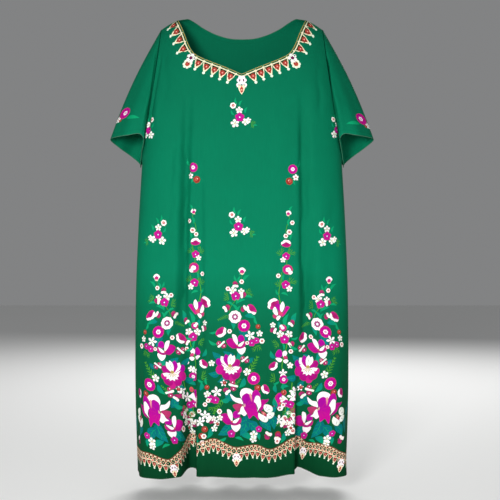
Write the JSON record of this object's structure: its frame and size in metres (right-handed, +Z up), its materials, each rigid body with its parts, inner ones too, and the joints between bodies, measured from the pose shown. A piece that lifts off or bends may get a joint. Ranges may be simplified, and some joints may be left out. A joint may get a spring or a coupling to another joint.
{
  "type": "maxi dress",
  "caption": "Loose ankle-length printed dress with short wide sleeves and a sweetheart neckline, hanging open and filled out.",
  "frame": {"origin": "midway between the two shoulders, on the shoulder line 6 mm below its highest points, where the wearer's shoulders carry the dress", "axes": "+Z up, -Y out of the dress's front, +X towards the right-hand side of a viewer who faces the front"},
  "size_m": [0.7072, 0.2263, 1.2046],
  "materials": {
    "printed_cloth": "matt soft woven rayon with a printed border",
    "sleeve_cloth": "matt soft woven rayon"
  },
  "bodies": {
    "root": {"front": "printed_cloth", "back": "printed_cloth", "sleeve_left": "sleeve_cloth", "sleeve_right": "sleeve_cloth"}
  },
  "joints": []
}
